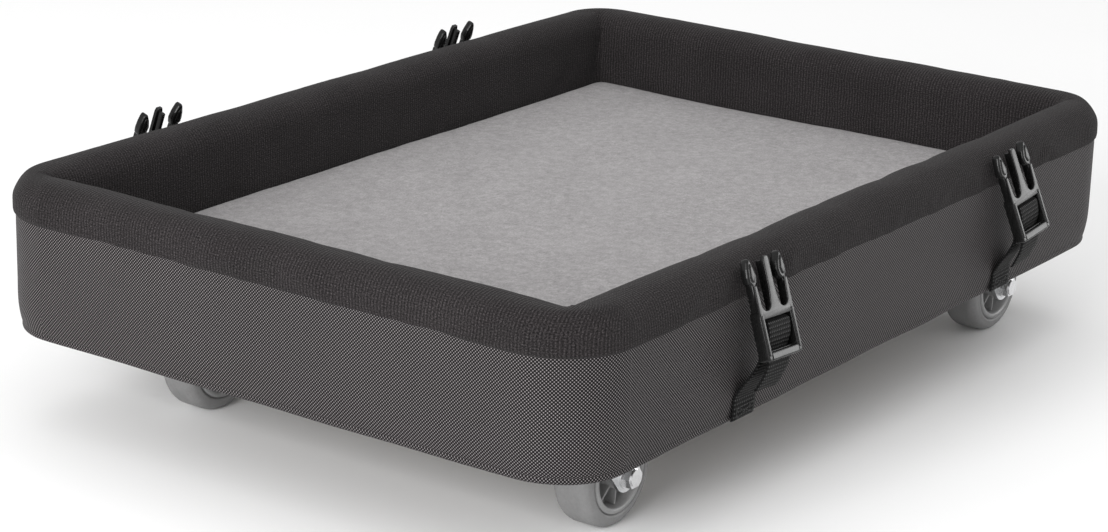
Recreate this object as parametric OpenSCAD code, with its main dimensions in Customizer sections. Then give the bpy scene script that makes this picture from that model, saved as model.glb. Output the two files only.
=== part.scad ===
// Padded tray dolly: a low fabric-covered tray with a thick soft rim, a felt floor mat,
// four strap-and-buckle hold-downs and four swivel casters.
// +X runs along the long side, +Z is up, and the origin is on the floor under the centre.

/* [Tray] */
// Length of the tray over its skirt
tray_l = 530; // [500:5:580]
// Width of the tray over its skirt
tray_w = 370; // [360:5:430]
// Outer radius of the upright corners
corner_r = 38; // [36:1:46]
// Radius of the upright corners inside the wall
inner_corner_r = 4; // [2:1:10]
// Thickness of the padded wall, from the skirt's face to the lining's face
wall_t = 26; // [24:1:30]
// Height of the skirt's bottom edge above the floor
hem_z = 50; // [46:1:52]
// Height of the seam between the skirt and the padded rim
seam_z = 111; // [104:1:122]
// Height of the padded rim above its seam
rim_h = 23; // [20:1:32]
// How far the padded rim stands proud of the skirt
rim_proud = 3; // [1:0.5:5]
// Thickness of the wooden base board
board_t = 12; // [10:1:15]
// Thickness of the felt floor mat
mat_t = 6; // [4:1:8]

/* [Straps] */
// Distance of each strap from the middle of the long side
strap_x = 130; // [100:5:150]
// Width of the webbing
webbing_w = 20; // [18:1:22]
// Thickness of the webbing
webbing_t = 1.5; // [1.2:0.1:1.8]
// Sideways lean of the front left strap, to the left as seen from the front
lean_front_left = -4; // [-6:1:6]
// Sideways lean of the front right strap
lean_front_right = 5; // [-6:1:6]
// Sideways lean of both back straps
lean_back = 1; // [-6:1:6]
// Tilt of the buckles away from upright, bottom edge outwards
buckle_tilt = 20; // [16:1:22]
// How much higher the back buckles sit than the front ones
back_lift = 7; // [0:1:8]

/* [Casters] */
// Distance of each swivel axis from the tray's end
caster_inset_x = 75; // [70:1:95]
// Distance of the front swivel axes from the front of the tray
caster_inset_front = 47; // [45:1:75]
// Distance of the back swivel axes from the back of the tray
caster_inset_back = 72; // [45:1:75]
// Diameter of the wheel over its tyre
wheel_d = 55; // [50:1:56]
// Width of the tyre
wheel_w = 22; // [18:1:22]
// Distance from the swivel axis to the axle, measured flat
trail = 12; // [8:1:16]

/* [Hidden] */
$fn = 64;
POSTS = ["fl", "fr", "br", "bl"];
SIDES = ["front", "right", "back", "left"];

// Heights of the stack
skirt_t = 1.2;
hem_t = 2;
lining_t = 1.2;
caster_h = 72;
board_z = caster_h;
mat_z = board_z + board_t;
rim_top = seam_z + rim_h;
mat_gap = 0.8;
mat_corner_r = 11;
core_in = wall_t - lining_t;

// Rounding of the padded rim's section
rim_r = 13;
rim_tuck_r = 4;

// Webbing and buckle, measured in a station's own frame:
// Y is the distance out from the skirt's face and the hinge line is the webbing's fold
hinge_z = 61;
hinge_out = 1.3;
anchor_gap = 2.8;
anchor_z = hem_z + 1;
buckle_w = 30;
buckle_l = 50;
buckle_t = 6.5;
buckle_foot_out = 20;
buckle_foot_z = 85.5;
rail_w = 3.5;
foot_bar_l = 4.5;
foot_bar_t = 3.6;
ladder_v = 16.5;
ladder_r = 1.4;
bridge_v = 20;
bridge_l = 5;
tail_v = 1.2;
prong_w = 2.6;
barb_v = 38;
guide_w = 4.6;

// Casters
plate_l = 60;
plate_w = 50;
plate_t = 2.5;
bolt_dx = 46;
bolt_dy = 36;
bolt_r = 2.5;
bolt_hole_r = 2.75;
bolt_head_h = 3.2;
bolt_head_r = 4.6;
nut_depth = 7.8;
nut_barrel_r = 3.5;
nut_flange_r = 8;
nut_flange_t = 1.1;
nut_gap = 0.15;
kingpin_r = 4;
running = 0.05;
crown_z = 60.5;
crown_t = 2.5;
crown_lip_h = 3;
crown_lip_t = 1.8;
crown_r = 20;
race_r = 13;
race_h = 2.5;
race_out_r = 17;
ball_r = 1.75;
ball_count = 12;
leg_gap = 25;
leg_t = 2;
leg_end_r = 8.5;
leg_outer = leg_gap / 2 + leg_t;
axle_r = 3;
washer_r = 6.5;
washer_t = 1.2;
hex_r = 5.8;
hex_t = 4;
cap_r = 4.4;
cap_t = 0.8;
nut_t = 5;
core_r = 20.5;
hub_r = 7.5;
web_t = 4;
rim_ring_t = 3;
bead_t = 1.8;
bead_h = 0.2;
rib_count = 8;
rib_t = 1.8;
wheel_r = wheel_d / 2;
hub_w = leg_gap - 1;

function side_span(i) = (i % 2 == 0 ? tray_l : tray_w) - 2 * corner_r;
function side_reach(i) = (i % 2 == 0 ? tray_w : tray_l) / 2 - corner_r;
function post_sx(i) = (i == 0 || i == 3) ? -1 : 1;
function post_sy(i) = i < 2 ? -1 : 1;

// ---------- shared shapes ----------

// Rounded rectangle, drawn in by inset from the tray's outline
module footprint(inset, r = corner_r) {
    l = tray_l - 2 * inset;
    w = tray_w - 2 * inset;
    square([l, w - 2 * r], center = true);
    square([l - 2 * r, w], center = true);
    for (x = [-1, 1], y = [-1, 1])
        translate([x * (l / 2 - r), y * (w / 2 - r)])
            circle(r);
}

module wall_ring(outer, inner, inner_r) {
    difference() {
        footprint(outer, corner_r - outer);
        footprint(inner, inner_r);
    }
}

// One side of a ring, cut at 45 degrees through the corners
module side_of_ring(i, outer, inner, inner_r) {
    reach = corner_r + 10;
    rotate(90 * i)
        intersection() {
            rotate(-90 * i)
                wall_ring(outer, inner, inner_r);
            translate([0, -side_reach(i)])
                polygon([
                    [-side_span(i) / 2, 0],
                    [side_span(i) / 2, 0],
                    [side_span(i) / 2 + reach, -reach],
                    [-side_span(i) / 2 - reach, -reach]
                ]);
        }
}

// Section of the rim: X is the distance from the corner's centre
module rim_section() {
    inner = corner_r - wall_t;
    outer = corner_r + rim_proud;
    shoulder = rim_top - rim_r;
    translate([inner, seam_z])
        square([outer - inner - rim_tuck_r, shoulder - seam_z]);
    translate([inner, seam_z + rim_tuck_r])
        square([outer - inner, shoulder - seam_z - rim_tuck_r]);
    translate([inner + rim_r, seam_z])
        square([outer - inner - 2 * rim_r, rim_h]);
    for (x = [inner + rim_r, outer - rim_r])
        translate([x, shoulder])
            intersection() {
                circle(rim_r);
                translate([-rim_r, 0])
                    square([2 * rim_r, rim_r]);
            }
    translate([outer - rim_tuck_r, seam_z + rim_tuck_r])
        circle(rim_tuck_r);
}

// Flat ribbon that follows the points of a path, in the plane of the path
function ribbon_normal(path, i) =
    let (
        a = path[max(i - 1, 0)],
        b = path[min(i + 1, len(path) - 1)],
        d = b - a
    )
    [-d[1], d[0]] / norm(d);

module ribbon(path, thick) {
    last = len(path) - 1;
    polygon(concat(
        [for (i = [0:last]) path[i] + ribbon_normal(path, i) * thick / 2],
        [for (i = [last:-1:0]) path[i] - ribbon_normal(path, i) * thick / 2]
    ));
}

// ---------- tray ----------

module base_board() {
    color("burlywood")
        difference() {
            translate([0, 0, board_z])
                linear_extrude(board_t)
                    footprint(skirt_t, corner_r - skirt_t);
            each_plate_hole()
                t_nut_recess();
        }
}

// Hole for a bolt, opened out for the barrel and the flange of its nut
module t_nut_recess() {
    translate([0, 0, board_z - 1])
        cylinder(h = board_t + 2, r = bolt_hole_r);
    translate([0, 0, mat_z - nut_depth - nut_gap])
        cylinder(h = nut_depth + 1, r = nut_barrel_r + nut_gap);
    translate([0, 0, mat_z - nut_flange_t - nut_gap])
        cylinder(h = nut_flange_t + 1, r = nut_flange_r + nut_gap);
}

module floor_mat() {
    color([0.66, 0.65, 0.65])
        translate([0, 0, mat_z])
            linear_extrude(mat_t)
                footprint(wall_t + mat_gap, mat_corner_r);
}

module wall_lining() {
    color([0.12, 0.12, 0.13])
        translate([0, 0, mat_z])
            linear_extrude(seam_z - mat_z)
                wall_ring(core_in, wall_t, inner_corner_r);
}

module skirt_cover() {
    color([0.25, 0.24, 0.25])
        translate([0, 0, board_z])
            linear_extrude(seam_z - board_z)
                wall_ring(0, skirt_t, corner_r - skirt_t);
}

module wall_core(i) {
    color([0.85, 0.8, 0.7])
        translate([0, 0, mat_z])
            linear_extrude(seam_z - mat_z)
                side_of_ring(i, skirt_t, core_in, inner_corner_r + lining_t);
}

module skirt_hem(i) {
    color([0.22, 0.21, 0.22])
        translate([0, 0, hem_z])
            linear_extrude(board_z - hem_z)
                side_of_ring(i, 0, hem_t, corner_r - hem_t);
}

module rim_pad(i) {
    color([0.14, 0.14, 0.15])
        rotate(90 * i)
            translate([0, -side_reach(i), 0]) {
                translate([-side_span(i) / 2, 0, 0])
                    rotate([90, 0, 90])
                        linear_extrude(side_span(i))
                            mirror([1, 0])
                                rim_section();
                translate([-side_span(i) / 2, 0, 0])
                    rotate(225)
                        rotate_extrude(angle = 45)
                            rim_section();
                translate([side_span(i) / 2, 0, 0])
                    rotate(270)
                        rotate_extrude(angle = 45)
                            rim_section();
            }
}

// ---------- straps ----------

// Puts a station's frame at its place on a long side, with +Y pointing out of the tray
module at_strap(i) {
    translate([post_sx(i) * strap_x, post_sy(i) * tray_w / 2, 0])
        mirror([0, post_sy(i) < 0 ? 1 : 0, 0])
            children();
}

function lean(i) = i == 0 ? lean_front_left : i == 1 ? lean_front_right : lean_back;

// Leans what stands above the fold sideways
module leaning(i) {
    translate([0, hinge_out, hinge_z])
        rotate([0, -lean(i), 0])
            translate([0, -hinge_out, -hinge_z])
                children();
}

function lift(i) = post_sy(i) > 0 ? back_lift : 0;

// A point of a buckle's side view: v along its length, w through its thickness
function on_buckle(i, v, w) =
    let (s = sin(buckle_tilt), c = cos(buckle_tilt), m = w - buckle_t / 2)
    [buckle_foot_out - s * v + c * m, buckle_foot_z + lift(i) + c * v + s * m];

module strap_anchor(i) {
    color([0.09, 0.09, 0.1])
        at_strap(i)
            translate([-webbing_w / 2, 0, anchor_z])
                cube([webbing_w, webbing_t, hinge_z - anchor_gap - anchor_z]);
}

// Slants out from the hem, goes over the ladder bar and hangs down as a short tail
module strap_webbing(i) {
    turn_r = ladder_r + webbing_t / 2 + 0.15;
    rise = lift(i);
    over = [for (a = [180:-30:0])
        on_buckle(i, ladder_v + turn_r * sin(a), buckle_t / 2 + turn_r * cos(a))];
    path = concat(
        [
            [hinge_out, hinge_z],
            [hinge_out + 0.2, hinge_z + 2],
            [5, 69 + rise * 0.3],
            [10, 76.5 + rise * 0.7],
            [13.3, 83.5 + rise]
        ],
        [on_buckle(i, 6, -1), on_buckle(i, 12, 0)],
        over,
        [
            on_buckle(i, 10, buckle_t - 2.2),
            on_buckle(i, foot_bar_l, tail_v),
            on_buckle(i, -1, tail_v),
            [17.2, 78.5 + rise],
            [15, 73.5 + rise],
            [12.6, 69 + rise]
        ]
    );
    color([0.09, 0.09, 0.1])
        at_strap(i)
            leaning(i)
                translate([-webbing_w / 2, 0, 0])
                    rotate([90, 0, 90])
                        linear_extrude(webbing_w)
                            ribbon(path, webbing_t);
}

// Front view of the buckle: ladder frame below, guide and two sprung prongs above
module buckle_frame_outline() {
    difference() {
        translate([-buckle_w / 2, 0])
            square([buckle_w, bridge_v + bridge_l]);
        translate([-buckle_w / 2 + rail_w, foot_bar_l])
            square([buckle_w - 2 * rail_w, bridge_v - foot_bar_l]);
    }
}

// Right-hand prong: a springy arm, a step, and a barb that narrows to a round tip
module prong_outline() {
    throat = bridge_v + bridge_l;
    arm_out = buckle_w / 2 - 0.4;
    arm_in = arm_out - prong_w;
    tip_r = 1.6;
    tip = [arm_out - 1.2, buckle_l - tip_r];
    polygon([
        [arm_in, throat - 1],
        [arm_out, throat - 1],
        [arm_out, barb_v - 1],
        [arm_out + 1.8, barb_v],
        [arm_out + 1.9, barb_v + 3],
        [arm_out + 1, barb_v + 7.5],
        tip + [tip_r, 0],
        tip - [tip_r, 0],
        [arm_in - 1.4, barb_v + 6],
        [arm_in - 1.6, barb_v + 2]
    ]);
    translate(tip)
        circle(tip_r);
}

module buckle(i) {
    color([0.05, 0.05, 0.05])
        at_strap(i)
            leaning(i)
                translate([0, buckle_foot_out, buckle_foot_z + lift(i)])
                    rotate([buckle_tilt, 0, 0])
                        translate([0, buckle_t / 2, 0])
                            rotate([90, 0, 0])
                                buckle_body();
}

// The buckle lying flat: Z is its thickness and its front face is at Z = 0
module buckle_body() {
    difference() {
        linear_extrude(buckle_t)
            buckle_frame_outline();
        translate([-buckle_w / 2 + rail_w, -1, foot_bar_t])
            cube([buckle_w - 2 * rail_w, foot_bar_l + 2, buckle_t]);
    }
    translate([-buckle_w / 2 + 1, ladder_v, buckle_t / 2])
        rotate([0, 90, 0])
            cylinder(h = buckle_w - 2, r = ladder_r);
    translate([0, 0, 1])
        linear_extrude(buckle_t - 2)
            for (s = [0, 1])
                mirror([s, 0])
                    prong_outline();
    translate([-guide_w / 2, bridge_v, 0.8])
        cube([guide_w, buckle_l - bridge_v - 1, 1.8]);
    translate([-guide_w / 6, bridge_v, 0.8])
        cube([guide_w / 3, buckle_l - bridge_v - 2, buckle_t - 1.6]);
}

// ---------- casters ----------

module at_caster(i) {
    translate([
        post_sx(i) * (tray_l / 2 - caster_inset_x),
        post_sy(i) * (tray_w / 2 - (i < 2 ? caster_inset_front : caster_inset_back)),
        0
    ])
        children();
}

module plate_corners() {
    for (x = [-1, 1], y = [-1, 1])
        translate([x * bolt_dx / 2, y * bolt_dy / 2, 0])
            children();
}

module each_plate_hole() {
    for (i = [0:3])
        at_caster(i)
            plate_corners()
                children();
}

module caster_plate(i) {
    color("silver")
        at_caster(i)
            difference() {
                union() {
                    translate([0, 0, caster_h - plate_t])
                        linear_extrude(plate_t)
                            plate_outline();
                    translate([0, 0, caster_h - plate_t - race_h])
                        cylinder(h = race_h + 0.5, r = race_out_r);
                }
                cylinder(h = caster_h + 1, r = kingpin_r);
                plate_corners()
                    translate([0, 0, caster_h - plate_t - 1])
                        cylinder(h = plate_t + 2, r = bolt_hole_r);
            }
}

module plate_outline() {
    r = 6;
    square([plate_l, plate_w - 2 * r], center = true);
    square([plate_l - 2 * r, plate_w], center = true);
    for (x = [-1, 1], y = [-1, 1])
        translate([x * (plate_l / 2 - r), y * (plate_w / 2 - r)])
            circle(r);
}

module caster_kingpin(i) {
    head_h = 2.2;
    head_top = crown_z - 0.3;
    color("gainsboro")
        at_caster(i) {
            translate([0, 0, head_top])
                cylinder(h = caster_h - 0.1 - head_top, r = kingpin_r);
            translate([0, 0, head_top - head_h])
                cylinder(h = head_h, r1 = 6, r2 = 8);
        }
}

// Outline of one fork leg, seen from the side: it leans back to the axle
module leg_outline() {
    difference() {
        union() {
            translate([trail, wheel_r])
                circle(leg_end_r);
            polygon([
                [-13, crown_z + crown_t],
                [13, crown_z + crown_t],
                [16, crown_z - 6],
                [trail + leg_end_r, wheel_r + 1],
                [trail - leg_end_r * 0.8, wheel_r - leg_end_r * 0.6],
                [-10, wheel_r + 14],
                [-13, crown_z - 6]
            ]);
        }
        translate([trail, wheel_r])
            circle(axle_r);
    }
}

module caster_fork(i) {
    color("silver")
        at_caster(i) {
            difference() {
                translate([0, 0, crown_z])
                    cylinder(h = crown_t + crown_lip_h, r = crown_r);
                translate([0, 0, crown_z + crown_t])
                    cylinder(h = crown_lip_h + 1, r = crown_r - crown_lip_t);
                translate([0, 0, crown_z - 1])
                    cylinder(h = crown_t + 2, r = kingpin_r + running);
            }
            for (s = [-1, 1])
                translate([0, s * (leg_gap + leg_t) / 2 + leg_t / 2, 0])
                    rotate([90, 0, 0])
                        linear_extrude(leg_t)
                            leg_outline();
        }
}

module at_axle(i) {
    at_caster(i)
        translate([trail, 0, wheel_r])
            children();
}

// Turns a cylinder onto the axle, with its base at y = from, growing towards -Y
module along_axle(from) {
    translate([0, from, 0])
        rotate([90, 0, 0])
            children();
}

module axle_bolt(i) {
    face = -leg_outer;
    color("gainsboro")
        at_axle(i) {
            along_axle(leg_outer + nut_t + 1.5)
                cylinder(h = 2 * leg_outer + nut_t + 2, r = axle_r);
            along_axle(face)
                cylinder(h = washer_t, r = washer_r);
            along_axle(face - washer_t)
                cylinder(h = hex_t, r = hex_r, $fn = 6);
            along_axle(face - washer_t - hex_t)
                cylinder(h = cap_t, r = cap_r);
        }
}

module axle_nut(i) {
    color("gainsboro")
        at_axle(i)
            difference() {
                along_axle(leg_outer + nut_t)
                    cylinder(h = nut_t, r = hex_r, $fn = 6);
                along_axle(leg_outer + nut_t + 1)
                    cylinder(h = nut_t + 2, r = axle_r);
            }
}

// Section of the wheel's centre: hub, thin web and the rim that the tyre sits on
module wheel_core_section() {
    bore = axle_r + running;
    ring_in = core_r - rim_ring_t;
    translate([bore, -hub_w / 2])
        square([hub_r - bore, hub_w]);
    translate([hub_r - 1, -web_t / 2])
        square([ring_in - hub_r + 2, web_t]);
    translate([ring_in, -wheel_w / 2 + 1])
        square([rim_ring_t, wheel_w - 2]);
    translate([ring_in + 0.4, -wheel_w / 2 - bead_h])
        square([bead_t, wheel_w + 2 * bead_h]);
}

module wheel_core(i) {
    color([0.5, 0.5, 0.51])
        at_axle(i)
            rotate([90, 0, 0]) {
                rotate_extrude()
                    wheel_core_section();
                for (k = [0:rib_count - 1])
                    rotate(k * 360 / rib_count)
                        translate([hub_r - 0.5, -rib_t / 2, -wheel_w / 2 + 3])
                            cube([core_r - rim_ring_t - hub_r + 1, rib_t, wheel_w - 6]);
            }
}

// Section of the tyre, with rounded shoulders
module tyre_section() {
    shoulder_r = 5;
    translate([core_r, -wheel_w / 2])
        square([wheel_r - core_r - shoulder_r, wheel_w]);
    translate([core_r, -wheel_w / 2 + shoulder_r])
        square([wheel_r - core_r, wheel_w - 2 * shoulder_r]);
    intersection() {
        for (s = [-1, 1])
            translate([wheel_r - shoulder_r, s * (wheel_w / 2 - shoulder_r)])
                circle(shoulder_r);
        translate([core_r, -wheel_w / 2])
            square([wheel_r, wheel_w]);
    }
}

module tyre(i) {
    color([0.55, 0.55, 0.56])
        at_axle(i)
            rotate([90, 0, 0])
                rotate_extrude()
                    tyre_section();
}

module race_balls() {
    color("silver")
        for (i = [0:3])
            at_caster(i)
                for (k = [0:ball_count - 1])
                    rotate(k * 360 / ball_count)
                        translate([race_r, 0, crown_z + crown_t + 2])
                            sphere(ball_r);
}

module plate_bolts() {
    shank = bolt_head_h + plate_t + board_t - 1.5;
    color("gainsboro")
        each_plate_hole()
            translate([0, 0, caster_h - plate_t - bolt_head_h]) {
                cylinder(h = bolt_head_h, r = bolt_head_r, $fn = 6);
                cylinder(h = shank, r = bolt_r);
            }
}

module plate_nuts() {
    color("gainsboro")
        each_plate_hole()
            difference() {
                union() {
                    translate([0, 0, mat_z - nut_depth])
                        cylinder(h = nut_depth - nut_gap, r = nut_barrel_r);
                    translate([0, 0, mat_z - nut_flange_t - nut_gap])
                        cylinder(h = nut_flange_t, r = nut_flange_r);
                }
                translate([0, 0, mat_z - nut_depth - 1])
                    cylinder(h = nut_depth + 2, r = bolt_r);
            }
}

base_board();
floor_mat();
wall_lining();
skirt_cover();
for (i = [0:3]) {
    wall_core(i);
    rim_pad(i);
    skirt_hem(i);
    strap_anchor(i);
    strap_webbing(i);
    buckle(i);
    caster_plate(i);
    caster_kingpin(i);
    caster_fork(i);
    axle_bolt(i);
    axle_nut(i);
    wheel_core(i);
    tyre(i);
}
race_balls();
plate_bolts();
plate_nuts();
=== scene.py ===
"""Padded tray dolly: looks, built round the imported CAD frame. Metres, Z up, floor at z = 0."""

import math

import bmesh
import bpy
from mathutils import Matrix, Vector, noise


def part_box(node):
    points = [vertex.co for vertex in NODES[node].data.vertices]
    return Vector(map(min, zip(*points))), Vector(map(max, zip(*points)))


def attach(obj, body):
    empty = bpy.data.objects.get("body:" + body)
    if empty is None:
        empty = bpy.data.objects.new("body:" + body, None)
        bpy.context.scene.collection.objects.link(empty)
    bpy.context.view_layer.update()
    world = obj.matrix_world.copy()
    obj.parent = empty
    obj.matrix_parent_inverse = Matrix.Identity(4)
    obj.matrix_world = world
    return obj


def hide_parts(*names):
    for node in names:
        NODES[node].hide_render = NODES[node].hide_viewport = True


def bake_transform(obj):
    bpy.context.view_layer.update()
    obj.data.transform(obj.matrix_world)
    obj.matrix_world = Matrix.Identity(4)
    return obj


MM = 0.001
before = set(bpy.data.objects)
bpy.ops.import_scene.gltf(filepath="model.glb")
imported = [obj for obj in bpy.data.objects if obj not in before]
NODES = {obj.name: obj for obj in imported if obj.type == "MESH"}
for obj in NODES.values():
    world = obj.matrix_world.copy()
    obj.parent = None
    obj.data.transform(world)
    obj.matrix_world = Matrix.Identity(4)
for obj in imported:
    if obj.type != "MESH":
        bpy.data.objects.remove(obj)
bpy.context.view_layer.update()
scene = bpy.context.scene
POSTS = ("fl", "fr", "br", "bl")
SIDES = ("front", "right", "back", "left")

# ---------- sizes, from the CAD's own boxes ----------

HALF_X, HALF_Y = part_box("skirt_cover")[1][:2]
SEAM_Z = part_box("rim_pad_front")[0].z
RIM_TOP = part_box("rim_pad_front")[1].z
HEM_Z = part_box("skirt_hem_front")[0].z
BOARD_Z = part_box("base_board")[0].z
MAT_Z, MAT_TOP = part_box("floor_mat")[0].z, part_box("floor_mat")[1].z
MAT_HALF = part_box("floor_mat")[1]
CORNER_R = 38 * MM
WALL_T = 26 * MM
RIM_PROUD = 3 * MM

STRAP_X = 130 * MM
STRAP_W = 20 * MM
STRAP_T = 1.5 * MM
RIB_PITCH = 2.1 * MM
LEANS = {"fl": math.radians(-4), "fr": math.radians(5), "br": math.radians(1), "bl": math.radians(1)}
HINGE_OUT, HINGE_Z = 1.3 * MM, 61 * MM
BUCKLE_TILT = math.radians(20)
BUCKLE_T = 6.5 * MM
BUCKLE_FOOT = (20 * MM, 85.5 * MM)  # (out, z) of a front buckle's foot
LADDER_V, LADDER_R = 16.5 * MM, 1.4 * MM
BACK_LIFT = 7 * MM  # how much higher the two back buckles stand


# ---------- camera ----------

def add_camera(azimuth, elevation, distance, target, lens, roll):
    data = bpy.data.cameras.new("camera")
    cam = bpy.data.objects.new("camera", data)
    scene.collection.objects.link(cam)
    a, e = math.radians(azimuth), math.radians(elevation)
    back = Vector((math.sin(a) * math.cos(e), -math.cos(a) * math.cos(e), math.sin(e)))
    cam.rotation_mode = "QUATERNION"
    turn = (-back).to_track_quat("-Z", "Y").to_matrix() @ Matrix.Rotation(math.radians(roll), 3, "Z")
    cam.rotation_quaternion = turn.to_quaternion()
    cam.location = Vector(target) + back * distance
    data.sensor_width = 36
    data.lens = lens
    data.clip_start, data.clip_end = 0.01, 50
    data.dof.use_dof = False
    scene.camera = cam


add_camera(azimuth=-54.51, elevation=17.71, distance=1.52, target=(-0.103, -0.0535, 0.093), lens=97.6, roll=1.5)


# ---------- node helpers ----------

class Material:
    """A small builder for one Principled material."""

    def __init__(self, name, **sockets):
        self.material = bpy.data.materials.new(name)
        self.material.use_nodes = True
        self.tree = self.material.node_tree
        self.shader = self.tree.nodes["Principled BSDF"]
        for key, value in sockets.items():
            self.shader.inputs[key.replace("_", " ")].default_value = value

    def node(self, kind, *inputs, out=0, **props):
        n = self.tree.nodes.new("ShaderNode" + kind)
        for key, value in props.items():
            if key in n.inputs:
                self.put(n.inputs[key], value)
            else:
                setattr(n, key, value)
        for i, value in enumerate(inputs):
            if value is not None:
                self.put(n.inputs[i], value)
        return n.outputs[out]

    def put(self, socket, value):
        if isinstance(value, bpy.types.NodeSocket):
            self.tree.links.new(value, socket)
        elif hasattr(value, "__len__") and len(value) == 3 and len(socket.default_value) == 4:
            socket.default_value = (*value, 1)
        else:
            socket.default_value = value

    def math(self, op, a, b=None, c=None, clamp=False):
        return self.node("Math", a, b, c, operation=op, use_clamp=clamp)

    def mix(self, factor, a, b, kind="MIX"):
        n = self.tree.nodes.new("ShaderNodeMix")
        n.data_type = "RGBA"
        n.blend_type = kind
        for i, value in ((0, factor), (6, a), (7, b)):
            self.put(n.inputs[i], value)
        return n.outputs[2]

    def ramp(self, factor, stops):
        n = self.tree.nodes.new("ShaderNodeValToRGB")
        self.put(n.inputs[0], factor)
        band = n.color_ramp
        while len(band.elements) < len(stops):
            band.elements.new(0.5)
        for element, (place, tone) in zip(band.elements, stops):
            element.position = place
            element.color = (*tone, 1) if hasattr(tone, "__len__") else (tone, tone, tone, 1)
        return n.outputs[0]

    def noise(self, vector, scale, detail=3.0, rough=0.5):
        return self.node("TexNoise", vector, Scale=scale, Detail=detail, Roughness=rough)

    def place(self):
        return self.node("TexCoord", out=3)

    def cloth_uv(self):
        uv = self.node("UVMap", uv_map="cloth")
        parts = self.tree.nodes.new("ShaderNodeSeparateXYZ")
        self.tree.links.new(uv, parts.inputs[0])
        return uv, parts.outputs[0], parts.outputs[1]

    def wave(self, x, pitch):
        """1 to 0 to 1 once for every pitch, in metres."""
        turned = self.math("MULTIPLY_ADD", x, 2 * math.pi / pitch, 0.0)
        return self.math("MULTIPLY_ADD", self.math("COSINE", turned), 0.5, 0.5)

    def bump(self, height, distance, strength):
        n = self.tree.nodes.new("ShaderNodeBump")
        n.inputs["Strength"].default_value = strength
        n.inputs["Distance"].default_value = distance
        self.tree.links.new(height, n.inputs["Height"])
        return n.outputs[0]

    def finish(self, colour, roughness, normal=None):
        for socket, value in (("Base Color", colour), ("Roughness", roughness), ("Normal", normal)):
            if value is not None:
                self.put(self.shader.inputs[socket], value)
        return self.material


def grey(value, warm=1.0):
    """A grey; warm over 1 adds a little red."""
    return (value * warm, value, value * (0.8 + 0.2 * warm))


def knit_material():
    m = Material("rib_knit", Sheen_Weight=0.04, Sheen_Roughness=0.5, Specular_IOR_Level=0.05)
    uv, u, v = m.cloth_uv()
    pitch = 1.9 * MM
    wander = m.math("MULTIPLY_ADD", m.noise(uv, 90, 3), 0.0022, u)
    rib = m.wave(wander, pitch)
    side = m.math("ABSOLUTE", m.math("SUBTRACT", m.math("FRACT", m.math("DIVIDE", wander, pitch)), 0.5))
    stitch = m.wave(m.math("MULTIPLY_ADD", side, 1.3 * MM, v), 1.25 * MM)
    yarn = m.math("MULTIPLY", rib, m.math("MULTIPLY_ADD", stitch, 0.55, 0.45))
    fluff = m.noise(uv, 1250, 3, 0.7)
    blotch = m.noise(uv, 28, 3)
    level = m.math("MULTIPLY_ADD", fluff, 1.7, m.math("MULTIPLY_ADD", yarn, 0.26, -0.56))
    tones = ((0.0, grey(0.004)), (0.3, grey(0.011, 1.12)), (0.55, grey(0.029, 1.12)), (0.9, grey(0.078, 1.1)))
    colour = m.ramp(level, tones)
    colour = m.mix(0.25, colour, m.ramp(blotch, ((0.3, 0.35), (0.7, 0.75))), "OVERLAY")
    rough = m.math("MULTIPLY_ADD", fluff, 0.15, 0.78)
    height = m.math("MULTIPLY_ADD", fluff, 0.25, yarn)
    return m.finish(colour, rough, m.bump(height, 0.45 * MM, 0.6))


def skirt_material():
    m = Material("nylon_weave", Specular_IOR_Level=0.08, Sheen_Weight=0.02, Sheen_Roughness=0.4)
    uv, u, v = m.cloth_uv()
    pitch = 1.75 * MM
    cell_u, cell_v = m.wave(u, pitch), m.wave(v, pitch)
    over = m.math("MULTIPLY", cell_u, cell_v)
    under = m.math("MULTIPLY", m.math("SUBTRACT", 1.0, cell_u), m.math("SUBTRACT", 1.0, cell_v))
    weave = m.math("ADD", over, under, clamp=True)
    thread = m.noise(uv, 3200, 2, 0.6)
    cloud = m.noise(uv, 14, 3)
    level = m.math("MULTIPLY_ADD", thread, 0.14, m.math("MULTIPLY_ADD", weave, 0.8, -0.01))
    # weave tones: the weave pattern itself, with its brightest stops partly painted highlight on the thread crowns
    tones = ((0.28, grey(0.003)), (0.48, grey(0.01, 1.1)), (0.64, grey(0.076, 1.1)), (0.86, grey(0.235, 1.08)))
    colour = m.ramp(level, tones)
    colour = m.mix(0.2, colour, m.ramp(cloud, ((0.3, 0.4), (0.7, 0.62))), "OVERLAY")
    rough = m.math("MULTIPLY_ADD", weave, -0.14, 0.66)
    return m.finish(colour, rough, m.bump(weave, 0.28 * MM, 0.7))


def felt_material():
    m = Material("felt", Specular_IOR_Level=0.1, Sheen_Weight=0.1, Sheen_Roughness=0.6)
    place = m.place()
    fibres = m.noise(place, 1000, 4, 0.75)
    tufts = m.noise(place, 260, 3, 0.6)
    cloud = m.noise(place, 30, 4, 0.55)
    coarse = m.math("MULTIPLY_ADD", tufts, 0.32, m.math("MULTIPLY", cloud, 0.08))
    level = m.math("MULTIPLY_ADD", fibres, 0.6, coarse)
    colour = m.ramp(level, ((0.36, grey(0.17, 1.04)), (0.5, grey(0.255, 1.04)), (0.64, grey(0.345, 1.04))))
    height = m.math("MULTIPLY_ADD", tufts, 0.8, fibres)
    return m.finish(colour, m.math("MULTIPLY_ADD", fibres, 0.1, 0.86), m.bump(height, 0.4 * MM, 0.6))


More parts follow.
